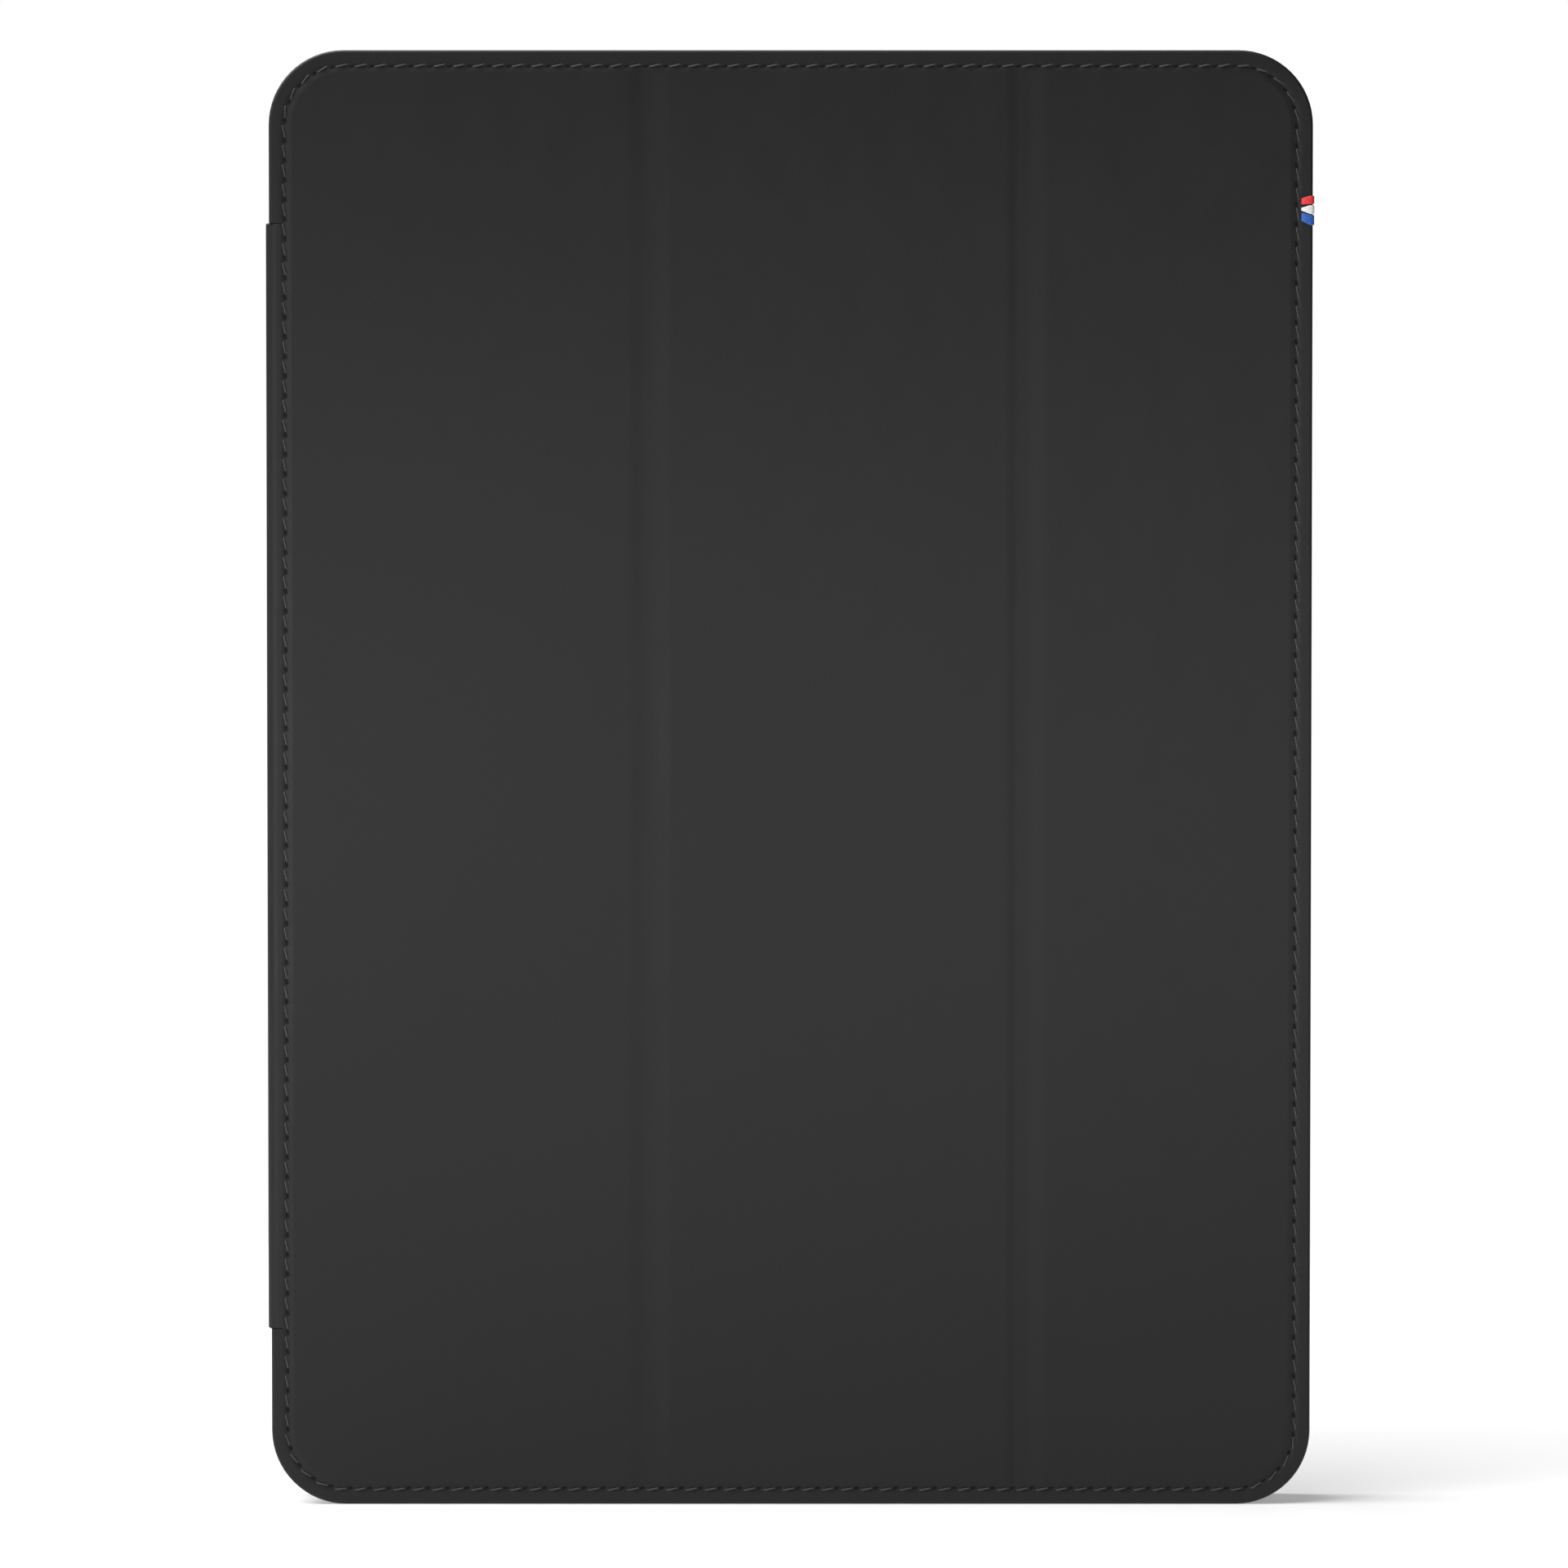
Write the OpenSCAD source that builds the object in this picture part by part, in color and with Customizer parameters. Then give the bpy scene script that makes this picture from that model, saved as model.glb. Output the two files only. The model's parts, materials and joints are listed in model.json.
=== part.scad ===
// Folding case for a tablet: a hard tray bonded to a stitched back panel, and a
// three-panel cover that opens on a soft spine and folds into a triangular stand.
// The case stands on its lower short edge. +X is to the right of the closed cover,
// the cover faces -Y and +Z is up.

/* [Tablet] */
// Width of the tablet that the tray holds
tablet_w = 169.5; // [150:0.5:190]
// Height of the tablet
tablet_h = 240; // [200:0.5:270]
// Thickness of the tablet
tablet_t = 7.5; // [6:0.1:9]
// Corner radius of the tablet
tablet_r = 12; // [9:0.5:16]

/* [Tray] */
// Gap between the tablet and the tray, on each side
tray_gap = 0.25; // [0.1:0.05:0.5]
// Thickness of the tray's side walls
tray_wall = 1.3; // [1:0.1:2]
// Thickness of the tray's floor
tray_floor = 1.2; // [1:0.1:2]
// Thickness of the lips that hold the tablet's corners
lip_t = 0.9; // [0.7:0.1:1.5]
// Leg of each corner lip, along the tray's sides
lip_leg = 14; // [12:0.5:18]
// Thickness of the cloth on the tray's floor
tray_cloth_t = 0.4; // [0.3:0.1:0.6]

/* [Cover and back] */
// How far the cover reaches past the tray at the top and bottom
overhang = 1.45; // [1:0.05:3]
// Corner radius of the cover and the back
cover_r = 12.6; // [12:0.1:18]
// Thickness of the leather
leather_t = 1.1; // [0.9:0.1:1.4]
// Thickness of the stiffening boards
board_t = 1.0; // [0.8:0.1:1.5]
// Thickness of the cover's lining
lining_t = 0.6; // [0.4:0.1:0.8]
// Thickness of the lining where it is pressed against the leather
margin_t = 0.7; // [0.6:0.1:0.8]
// Distance from the edge to the boards
board_inset = 4.4; // [4:0.1:6]
// Share of the cover's width at which the first fold lies
fold_1_share = 0.364; // [0.35:0.001:0.38]
// Share of the cover's width at which the second fold lies
fold_2_share = 0.726; // [0.71:0.001:0.74]
// Width of the soft strip at each fold
fold_w = 7.4; // [6:0.1:9]
// Depth of the strip's face below the panels' faces
fold_dip = 0.15; // [0.1:0.05:0.4]

/* [Spine] */
// Height of the spine at the lower end
spine_low = 29.8; // [20:0.1:40]
// Length of the spine
spine_len = 187.1; // [150:0.1:200]
// How far the spine stands out past the cover's edge
spine_proud = 0.6; // [0.4:0.1:1]
// Thickness of the spine's board
spine_board_t = 0.6; // [0.4:0.1:0.8]
// Thickness of the spine's lining
spine_lining_t = 0.5; // [0.4:0.1:0.7]
// Outer radius of the soft bends beside the spine
bend_r = 2.2; // [2:0.1:2.6]
// How far the soft bends run on flat along the panels
panel_lead = 0.4; // [0.2:0.1:0.4]
// How far the soft bends run on flat along the spine
spine_lead = 0.6; // [0.6:0.1:1]

/* [Stitching] */
// Distance from the edge to the stitches
stitch_inset = 2.6; // [2.2:0.1:3.2]
// Diameter of the thread
thread_d = 0.5; // [0.3:0.05:0.6]
// Depth of the groove that the thread lies in
groove_d = 0.3; // [0.2:0.05:0.4]

/* [Coloured edge thread] */
// Height of the middle of the three coloured wraps
wrap_z = 219; // [60:1:225]
// Width of each coloured wrap
wrap_w = 1.7; // [1.2:0.1:2.4]
// How far the wraps reach onto the cover
wrap_reach = 1.9; // [1.5:0.1:2.2]
// How far the wraps stand out
wrap_proud = 0.3; // [0.2:0.05:0.4]

/* [Hidden] */
$fn = 64;
eps = 0.05;      // how far a cutter runs past the face that it cuts
run_gap = 0.3;   // free space between pieces that move past each other

// Sizes along X, from the spine's outer face on the left to the coloured thread on the right
tray_w = tablet_w + 2 * (tray_gap + tray_wall);
tray_h = tablet_h + 2 * (tray_gap + tray_wall);
spine_t = leather_t + spine_board_t + spine_lining_t;
right_overhang = 1.5;   // how far the cover reaches past the tray on the right
cover_w = spine_t + run_gap + tray_w + right_overhang - spine_proud;
cover_h = tray_h + 2 * overhang;
total_w = spine_proud + cover_w + wrap_proud;
spine_x = -total_w / 2;
cover_x0 = spine_x + spine_proud;
cover_x1 = cover_x0 + cover_w;
tray_x0 = spine_x + spine_t + run_gap;
tray_z0 = overhang;
bay_x0 = tray_x0 + tray_wall;
bay_z0 = tray_z0 + tray_wall;
bay_w = tablet_w + 2 * tray_gap;
bay_h = tablet_h + 2 * tray_gap;
bay_r = tablet_r + tray_gap;
tray_r = bay_r + tray_wall;

// Sizes along Y, from the closed cover's face to the back's face
bay_t = tablet_t + tray_gap;
cover_t = leather_t + board_t + lining_t;
tray_t = lip_t + bay_t + tray_cloth_t + tray_floor;
total_t = wrap_proud + cover_t + run_gap + tray_t + margin_t + leather_t;
front_y = -total_t / 2 + wrap_proud;
board_y = front_y + leather_t;
lining_y = board_y + board_t;
inside_y = lining_y + lining_t;
margin_y = board_y + margin_t;
rim_y = inside_y + run_gap;
bay_y = rim_y + lip_t;
cloth_y = bay_y + bay_t;
floor_y = cloth_y + tray_cloth_t;
backing_y = floor_y + tray_floor;
back_leather_y = backing_y + margin_t;
back_y = back_leather_y + leather_t;

// Places of the folds and bends
fold_x = [cover_x0 + fold_1_share * cover_w, cover_x0 + fold_2_share * cover_w];
panel_x0 = [cover_x0, fold_x[0] + fold_w / 2, fold_x[1] + fold_w / 2];
panel_x1 = [fold_x[0] - fold_w / 2, fold_x[1] - fold_w / 2, cover_x1];
bend_x = spine_x + bend_r;
front_bend_y = front_y + bend_r;
back_bend_y = back_y - bend_r;
spine_y0 = front_bend_y + spine_lead;
spine_y1 = back_bend_y - spine_lead;
spine_margin = 0.8;   // width of the lining round the spine's board

// Openings in the tray, placed from the edges of the space for the tablet
camera_in = 12.9;
camera_x = bay_x0 + bay_w - camera_in;
camera_z = bay_z0 + bay_h - camera_in;
camera_r = 7;
collar_wall = 1.2;
collar_gap = 0.1;     // free space round the collar in the back's layers
collar_short = 0.3;   // how far the collar stops short of the back's face
cloth_gap = 0.6;      // how far the cloth stops short of the camera's hole
port_w = 81;
button_w = 20;
button_in = 35;       // from the space's right side to the opening's left end
button_x = bay_x0 + bay_w - button_in;
jack_w = 12;
jack_in = 14.5;       // from the space's left side to the opening's left end
jack_x = bay_x0 + jack_in;
volume_w = 28;
volume_in = 47;       // from the space's top to the opening's lower end
volume_z = bay_z0 + bay_h - volume_in;
lip_over = 1;         // how far a corner lip's cutter runs past the space's corner

// Steel strip in the first panel and magnets in the third
strip_w = 8;
strip_t = 0.5;
strip_len = 186;
magnet_w = 4;
magnet_len = 15;
magnet_t = 0.8;
magnet_count = 4;
magnet_step = 56;
pocket_margin = 0.8;   // board left between its edge and a magnet or the steel strip

board_gap = 1.5;    // how far a board stops short of its panel's folds
edge_gap = 0.6;     // how far the back's board stops short of the painted edge
thread_gap = 0.1;   // free space on each side of the thread in its groove
wrap_gap = 0.05;    // free space between two coloured wraps

leather_colour = "#2b2b2c";
lining_colour = "#3a3a3c";
board_colour = "#6b5f50";
thread_colour = "#4a4a4c";

// A plate of a flat shape that is drawn in X and Z, between two depths
module plate(y_from, y_to) {
    translate([0, y_to, 0])
        rotate([90, 0, 0])
            linear_extrude(y_to - y_from)
                children();
}

// A rectangle with round corners, by its low and high corners
module round_rect(x0, z0, x1, z1, r) {
    translate([x0 + r, z0]) square([x1 - x0 - 2 * r, z1 - z0]);
    translate([x0, z0 + r]) square([x1 - x0, z1 - z0 - 2 * r]);
    for (x = [x0 + r, x1 - r], z = [z0 + r, z1 - r])
        translate([x, z]) circle(r);
}

// The outline of the cover and of the back, pulled in by an inset
module cover_outline(inset = 0) {
    round_rect(cover_x0 + inset, inset, cover_x1 - inset, cover_h - inset, cover_r - inset);
}

// An upright band of the drawing plane
module band(x0, x1) {
    translate([x0, -eps]) square([x1 - x0, cover_h + 2 * eps]);
}

// The outline where the leather runs on round the bend into the spine
module bend_notch() {
    translate([cover_x0 - eps, spine_low])
        square([bend_x + panel_lead - cover_x0 + eps, spine_len]);
}

// The ring-shaped groove that the thread lies in
module groove_ring() {
    difference() {
        cover_outline(stitch_inset - thread_d / 2 - thread_gap);
        cover_outline(stitch_inset + thread_d / 2 + thread_gap);
    }
}

// Outline of one cover panel
module panel_outline(i) {
    difference() {
        intersection() {
            cover_outline();
            band(panel_x0[i] - (i == 0 ? eps : 0), panel_x1[i] + (i == 2 ? eps : 0));
        }
        if (i == 0) bend_notch();
    }
}

// Outline of one panel's board
module board_outline(i) {
    intersection() {
        cover_outline(board_inset);
        band(panel_x0[i] + board_gap, panel_x1[i] - board_gap);
    }
}

// The line of thread that lies in the groove, between two places along X
module thread_line(x_from, x_to) {
    intersection() {
        difference() {
            cover_outline(stitch_inset - thread_d / 2);
            cover_outline(stitch_inset + thread_d / 2);
        }
        band(x_from, x_to);
    }
}

// The cover's thread between two places along X: one line on the leather, whose face lies
// a dip below the panels' faces, and one on the lining
module cover_thread(x_from, x_to, dip = 0) {
    color(thread_colour) {
        plate(front_y + dip, front_y + dip + groove_d) thread_line(x_from, x_to);
        plate(margin_y - groove_d, margin_y) thread_line(x_from, x_to);
    }
}

// Hard tray that the tablet snaps into, with a collar round the camera
module tray_shell() {
    color("#1d1d1f")
    difference() {
        union() {
            plate(rim_y, backing_y)
                round_rect(tray_x0, tray_z0, tray_x0 + tray_w, tray_z0 + tray_h, tray_r);
            plate(floor_y, back_y - collar_short)
                translate([camera_x, camera_z]) circle(camera_r + collar_wall);
        }
        plate(bay_y, floor_y) bay_outline();
        plate(rim_y - eps, bay_y + eps)
            difference() {
                bay_outline();
                corner_lips();
            }
        camera_hole(camera_r);
        tray_cut(bay_x0 + (bay_w - port_w) / 2, tray_z0 - eps, port_w, tray_wall + 2 * eps);
        tray_cut(button_x, bay_z0 + bay_h - eps, button_w, tray_wall + 2 * eps);
        tray_cut(jack_x, bay_z0 + bay_h - eps, jack_w, tray_wall + 2 * eps);
        tray_cut(bay_x0 + bay_w - eps, volume_z, tray_wall + 2 * eps, volume_w);
    }
}

// Outline of the space for the tablet
module bay_outline() {
    round_rect(bay_x0, bay_z0, bay_x0 + bay_w, bay_z0 + bay_h, bay_r);
}

// The three-cornered lips over the tablet's corners
module corner_lips() {
    for (x = [0, 1], z = [0, 1])
        translate([bay_x0 + x * bay_w, bay_z0 + z * bay_h])
            mirror([x, 0]) mirror([0, z])
                polygon([[-lip_over, -lip_over], [lip_leg, -lip_over], [lip_leg, 0],
                         [0, lip_leg], [-lip_over, lip_leg]]);
}

// A hole through the back, round the camera
module camera_hole(r) {
    plate(rim_y, back_y + eps)
        translate([camera_x, camera_z]) circle(r);
}

// An opening in a side wall of the tray, from its rim down to the cloth
module tray_cut(x, z, w, h) {
    translate([x, rim_y - eps, z]) cube([w, cloth_y - rim_y + eps, h]);
}

// Soft cloth bonded to the tray's floor
module tray_lining() {
    color(lining_colour)
    difference() {
        plate(cloth_y, floor_y) bay_outline();
        camera_hole(camera_r + cloth_gap);
    }
}

// Leather of the back panel, with its stitching groove
module back_leather() {
    color(leather_colour)
    difference() {
        plate(back_leather_y, back_y) back_outline(0);
        plate(back_y - groove_d, back_y + eps) groove_ring();
        camera_hole(camera_r + collar_wall + collar_gap);
    }
}

// The back's outline, pulled in by an inset and cut away where the spine's leather joins it
module back_outline(inset) {
    difference() {
        cover_outline(inset);
        bend_notch();
    }
}

// Fibre board behind the back's leather, which the tray is bonded to
module back_board() {
    color(board_colour)
    difference() {
        plate(backing_y, back_leather_y) back_outline(edge_gap);
        camera_hole(camera_r + collar_wall + collar_gap);
    }
}

// Thread round the back panel
module back_stitching() {
    color(thread_colour)
        plate(back_y - groove_d, back_y) thread_line(cover_x0, cover_x1);
}

// The spine's leather between the two bends
module spine_leather() {
    color(leather_colour) spine_slab(spine_x, leather_t, 0);
}

// An upright slab of the spine, by its place along X, its thickness and its inset
module spine_slab(x, t, inset) {
    translate([x, spine_y0 + inset, spine_low + inset])
        cube([t, spine_y1 - spine_y0 - 2 * inset, spine_len - 2 * inset]);
}

// Stiffening board inside the spine
module spine_board() {
    color(board_colour) spine_slab(spine_x + leather_t, spine_board_t, spine_margin);
}

// Lining of the spine, which closes over its board
module spine_lining() {
    color(lining_colour)
    difference() {
        spine_slab(spine_x + leather_t, spine_board_t + spine_lining_t, 0);
        spine_slab(spine_x + leather_t - eps, spine_board_t + eps, spine_margin);
    }
}

// One layer of the soft strip between the spine and a panel: a quarter bend that runs on
// flat at both ends. side is -1 at the cover and 1 at the back
module soft_bend(side, r_in, r_out) {
    t = r_out - r_in;
    translate([bend_x, side == 1 ? back_bend_y : front_bend_y, spine_low])
        mirror([0, side == 1 ? 0 : 1, 0])
            linear_extrude(spine_len) {
                intersection() {
                    difference() {
                        circle(r_out);
                        circle(r_in);
                    }
                    translate([-r_out, 0]) square(r_out);
                }
                translate([-r_out, -spine_lead]) square([t, spine_lead]);
                translate([0, r_in]) square([panel_lead, t]);
            }
}

// The back's soft bend and its lining
module back_hinge_leather() {
    color(leather_colour) soft_bend(1, bend_r - leather_t, bend_r);
}

module back_hinge_lining() {
    color(lining_colour) soft_bend(1, bend_r - leather_t - margin_t, bend_r - leather_t);
}

// The cover's soft bend and its lining
module front_hinge_leather() {
    color(leather_colour) soft_bend(-1, bend_r - leather_t, bend_r);
}

module front_hinge_lining() {
    color(lining_colour) soft_bend(-1, bend_r - leather_t - margin_t, bend_r - leather_t);
}

// Leather of one cover panel, with its part of the stitching groove
module panel_leather(i) {
    color(leather_colour)
    difference() {
        plate(front_y, board_y) panel_outline(i);
        plate(front_y - eps, front_y + groove_d) groove_ring();
    }
}

// Board of one panel. The first holds the steel strip and the third the magnets
module panel_board(i) {
    color(board_colour)
    difference() {
        plate(board_y, lining_y) board_outline(i);
        if (i == 0) plate(board_y - eps, board_y + strip_t) strip_outline();
        if (i == 2) plate(board_y - eps, board_y + magnet_t) magnet_outlines();
    }
}

// Lining of one panel, which closes over the board and meets the leather round it
module panel_lining(i) {
    color(lining_colour)
    difference() {
        plate(board_y, inside_y) panel_outline(i);
        plate(board_y - eps, lining_y) board_outline(i);
        plate(margin_y, inside_y + eps)
            difference() {
                band(cover_x0 - eps, cover_x1 + eps);
                cover_outline(board_inset - lining_t);
            }
        plate(margin_y - groove_d, margin_y + eps) groove_ring();
    }
}

// Outline of the steel strip
module strip_outline() {
    translate([cover_x0 + board_inset + pocket_margin, (cover_h - strip_len) / 2])
        square([strip_w, strip_len]);
}

// Outlines of the magnets, spread evenly about the cover's middle
module magnet_outlines() {
    for (i = [0 : magnet_count - 1])
        translate([cover_x1 - board_inset - pocket_margin - magnet_w,
                   (cover_h - magnet_len) / 2 + (i - (magnet_count - 1) / 2) * magnet_step])
            square([magnet_w, magnet_len]);
}

// Steel strip that the third panel's magnets hold when the cover is folded into a stand
module panel_1_steel_strip() {
    color("silver") plate(board_y, board_y + strip_t) strip_outline();
}

// Bar magnets near the cover's free edge
module panel_3_magnets() {
    color("gainsboro") plate(board_y, board_y + magnet_t) magnet_outlines();
}

// Leather of the soft strip at one fold
module fold_leather(i) {
    color(leather_colour)
    difference() {
        plate(front_y + fold_dip, board_y)
            translate([fold_x[i] - fold_w / 2, 0]) square([fold_w, cover_h]);
        plate(front_y, front_y + fold_dip + groove_d) groove_ring();
    }
}

// Lining of the soft strip at one fold
module fold_lining(i) {
    color(lining_colour)
    difference() {
        plate(board_y, margin_y)
            translate([fold_x[i] - fold_w / 2, 0]) square([fold_w, cover_h]);
        plate(margin_y - groove_d, margin_y + eps) groove_ring();
    }
}

// One wrap of coloured thread round the cover's right edge
module edge_thread(i) {
    z0 = wrap_z + (i - 0.5) * wrap_w;
    difference() {
        translate([cover_x1 - wrap_reach, front_y - wrap_proud, z0])
            cube([wrap_reach + wrap_proud, margin_y - front_y + 2 * wrap_proud, wrap_w - wrap_gap]);
        translate([cover_x1 - wrap_reach - eps, front_y, z0 - eps])
            cube([wrap_reach + eps, margin_y - front_y, wrap_w + 2 * eps]);
    }
}

tray_shell();
tray_lining();
back_leather();
back_board();
back_stitching();
spine_leather();
spine_board();
spine_lining();
back_hinge_leather();
back_hinge_lining();
panel_leather(0);  // panel_1_leather
panel_board(0);  // panel_1_board
panel_lining(0);  // panel_1_lining
cover_thread(cover_x0, panel_x1[0]);  // panel_1_stitching
panel_1_steel_strip();
front_hinge_leather();
front_hinge_lining();
panel_leather(1);  // panel_2_leather
panel_board(1);  // panel_2_board
panel_lining(1);  // panel_2_lining
cover_thread(panel_x0[1], panel_x1[1]);  // panel_2_stitching
fold_leather(0);  // fold_1_leather
fold_lining(0);  // fold_1_lining
cover_thread(panel_x1[0], panel_x0[1], fold_dip);  // fold_1_stitching
panel_leather(2);  // panel_3_leather
panel_board(2);  // panel_3_board
panel_lining(2);  // panel_3_lining
cover_thread(panel_x0[2], cover_x1);  // panel_3_stitching
panel_3_magnets();
fold_leather(1);  // fold_2_leather
fold_lining(1);  // fold_2_lining
cover_thread(panel_x1[1], panel_x0[2], fold_dip);  // fold_2_stitching
color("crimson") edge_thread(1);  // edge_thread_red
color("whitesmoke") edge_thread(0);  // edge_thread_white
color("royalblue") edge_thread(-1);  // edge_thread_blue
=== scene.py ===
import json
import math

import bmesh
import bpy
from mathutils import Matrix, Vector


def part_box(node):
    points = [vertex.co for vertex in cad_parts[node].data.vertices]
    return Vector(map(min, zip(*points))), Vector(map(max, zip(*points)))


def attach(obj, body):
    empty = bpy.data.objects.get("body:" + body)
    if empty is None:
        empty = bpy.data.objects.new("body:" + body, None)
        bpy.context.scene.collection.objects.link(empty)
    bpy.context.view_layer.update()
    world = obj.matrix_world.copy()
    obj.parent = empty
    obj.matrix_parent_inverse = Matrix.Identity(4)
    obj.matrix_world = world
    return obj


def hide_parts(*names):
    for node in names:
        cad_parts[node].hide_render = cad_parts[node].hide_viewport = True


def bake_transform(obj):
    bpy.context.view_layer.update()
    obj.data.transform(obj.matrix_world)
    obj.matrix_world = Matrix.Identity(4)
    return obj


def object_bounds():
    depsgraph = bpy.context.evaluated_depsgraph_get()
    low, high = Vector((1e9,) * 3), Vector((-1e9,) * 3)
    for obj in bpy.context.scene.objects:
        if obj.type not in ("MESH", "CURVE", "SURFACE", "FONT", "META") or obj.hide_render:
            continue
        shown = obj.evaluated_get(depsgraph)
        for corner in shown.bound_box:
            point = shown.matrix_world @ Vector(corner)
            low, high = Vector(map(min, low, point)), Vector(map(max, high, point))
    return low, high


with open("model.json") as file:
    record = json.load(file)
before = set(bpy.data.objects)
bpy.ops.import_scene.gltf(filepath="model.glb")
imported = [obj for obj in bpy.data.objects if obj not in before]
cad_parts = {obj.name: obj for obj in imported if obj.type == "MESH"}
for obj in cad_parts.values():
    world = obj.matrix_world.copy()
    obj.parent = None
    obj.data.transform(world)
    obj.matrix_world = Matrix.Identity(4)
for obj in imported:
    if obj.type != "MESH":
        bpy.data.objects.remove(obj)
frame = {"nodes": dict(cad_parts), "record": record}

cad_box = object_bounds()

# ---- Table, light and camera ----
# The closed case stands on a plain white light table and is seen square on, from a little
# above its middle and far off, so that its sides stay upright. A long soft box stands to
# the left of the camera, a weaker one to the right, one hangs over the table, and a dim
# one stands behind.
MM = 0.001
VIEW_LENS = 200
VIEW_ANGLE = math.radians(2.5)
CASE_SHARE = 0.9285          # how much of the view's height the case takes
AIM_LEFT = 1.0 * MM          # how far the camera aims to the left of the case's middle
AIM_LOW = 0.7 * MM           # and how far below it

case_low, case_high = (Vector(corner) for corner in cad_box)
case_tall = case_high.z - case_low.z

camera_data = bpy.data.cameras.new("studio_camera")
camera_data.lens = VIEW_LENS
camera_data.clip_end = 20
camera_data.dof.use_dof = False
view_distance = case_tall / CASE_SHARE * VIEW_LENS / camera_data.sensor_width
aim = Vector((-AIM_LEFT, case_low.y, case_tall / 2 - AIM_LOW))
away = Vector((0, -math.cos(VIEW_ANGLE), math.sin(VIEW_ANGLE)))
camera = bpy.data.objects.new("studio_camera", camera_data)
camera.location = aim + away * view_distance
camera.rotation_euler = (-away).to_track_quat("-Z", "Y").to_euler()
bpy.context.collection.objects.link(camera)
bpy.context.scene.camera = camera
bpy.context.scene.view_settings.view_transform = "Standard"


class Wire:
    """The output of a shader node. Sums and products of wires and numbers add Math nodes."""

    def __init__(self, tree, socket=None):
        self.tree = tree
        self.socket = socket

    def node(self, kind, sockets, output=0, **settings):
        """Adds a node, sets it up, feeds its sockets with values or wires, and returns an output."""
        made = self.tree.nodes.new("ShaderNode" + kind)
        for name, value in settings.items():
            setattr(made, name, value)
        for name, value in sockets.items():
            if isinstance(value, Wire):
                self.tree.links.new(value.socket, made.inputs[name])
            else:
                made.inputs[name].default_value = value
        return Wire(self.tree, made.outputs[output])

    def maths(self, operation, *others):
        return self.node("Math", dict(enumerate((self, *others))), operation=operation)

    def __add__(self, other):
        return self.maths("ADD", other)

    __radd__ = __add__

    def __sub__(self, other):
        return self.maths("SUBTRACT", other)

    def __rsub__(self, other):
        return (self * -1) + other

    def __mul__(self, other):
        return self.maths("MULTIPLY", other)

    __rmul__ = __mul__

    def ease(self, low, high):
        """0 below low, 1 above high, and a smooth rise between."""
        sockets = {"Value": self, "From Min": low, "From Max": high}
        return self.node("MapRange", sockets, interpolation_type="SMOOTHSTEP")

    def tint(self, dark, light):
        """The colour between dark and light that this value picks."""
        sockets = {0: self, 6: (*dark, 1), 7: (*light, 1)}
        return self.node("Mix", sockets, output=2, data_type="RGBA")

    def noise(self, place, size, detail=2.0, roughness=0.5):
        """Soft noise whose blotches are about size across."""
        sockets = {"Vector": place, "Scale": 1 / size, "Detail": detail, "Roughness": roughness}
        return self.node("TexNoise", sockets)

    def bump(self, height, depth, strength=1.0):
        """Relief of a height from 0 to 1 that is depth deep."""
        return self.node("Bump", {"Height": height, "Distance": depth, "Strength": strength})


def new_material(name, **constants):
    """A material, its starting wire and a call that feeds its surface."""
    material = bpy.data.materials.new(name)
    material.use_nodes = True
    surface = material.node_tree.nodes["Principled BSDF"]
    for socket, value in constants.items():
        surface.inputs[socket.replace("_", " ")].default_value = value

    def feed(**wires):
        for socket, wire in wires.items():
            material.node_tree.links.new(wire.socket, surface.inputs[socket.replace("_", " ")])

    return material, Wire(material.node_tree), feed


def add_light(name, place, aim_z, wide, tall, power, spread=180):
    """A soft box, level along its width, that faces the case at a height above the table."""
    data = bpy.data.lights.new(name, "AREA")
    data.shape = "RECTANGLE"
    data.size = wide
    data.size_y = tall
    data.energy = power
    data.spread = math.radians(spread)
    light = bpy.data.objects.new(name, data)
    light.location = place
    facing = Vector((0, 0, aim_z)) - light.location
    light.rotation_euler = facing.to_track_quat("-Z", "Y").to_euler()
    bpy.context.collection.objects.link(light)


# The side boxes have grids, so their light fades towards the case's top and bottom
SIDE_HEIGHT = 0.13
GRID_SPREAD = 10
add_light("left_light", (-1.0, -2.2, SIDE_HEIGHT), SIDE_HEIGHT, 1.0, 0.06, 0.44, GRID_SPREAD)
add_light("right_light", (1.2, -1.9, SIDE_HEIGHT), SIDE_HEIGHT, 1.0, 0.06, 0.14, GRID_SPREAD)
add_light("top_light", (-0.5, -0.15, 1.0), 0, 1.2, 1.2, 23)
add_light("back_light", (0.5, 1.5, 0.7), 0.1, 1.2, 1.2, 1.5)

# The room is white where the camera sees it, and lights the case only a little
world = bpy.data.worlds.new("studio_world")
world.use_nodes = True
bpy.context.scene.world = world
sky = Wire(world.node_tree)
sky_colour = sky.node("LightPath", {}).tint((0.03, 0.03, 0.03), (1.0, 1.0, 1.0))
world.node_tree.links.new(sky_colour.socket, world.node_tree.nodes["Background"].inputs["Color"])

table_white, wire, feed = new_material("table_white", Roughness=0.6, Emission_Color=(1, 1, 1, 1),
                                       Emission_Strength=0.3)
grain = wire.noise(wire.node("TexCoord", {}, output=3), 0.05)
feed(Base_Color=grain.tint((0.90, 0.90, 0.90), (0.92, 0.92, 0.92)))
bpy.ops.mesh.primitive_plane_add(size=0.9, location=(0, 0, 0))
table = bpy.context.object
table.name = "table"
table.data.materials.append(table_white)

# ---- Cover leather ----
# One hide of smooth black cowhide covers the three panels. It is glued over the boards,
# so it stands up a little where a board lies under it and sinks at the hem round the edge
# and at the two folds. Its cut edge is rounded and painted together with the lining's.


def corners(node):
    """A CAD node's lowest and highest corners, in millimetres."""
    return [Vector(corner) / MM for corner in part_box(node)]


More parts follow.
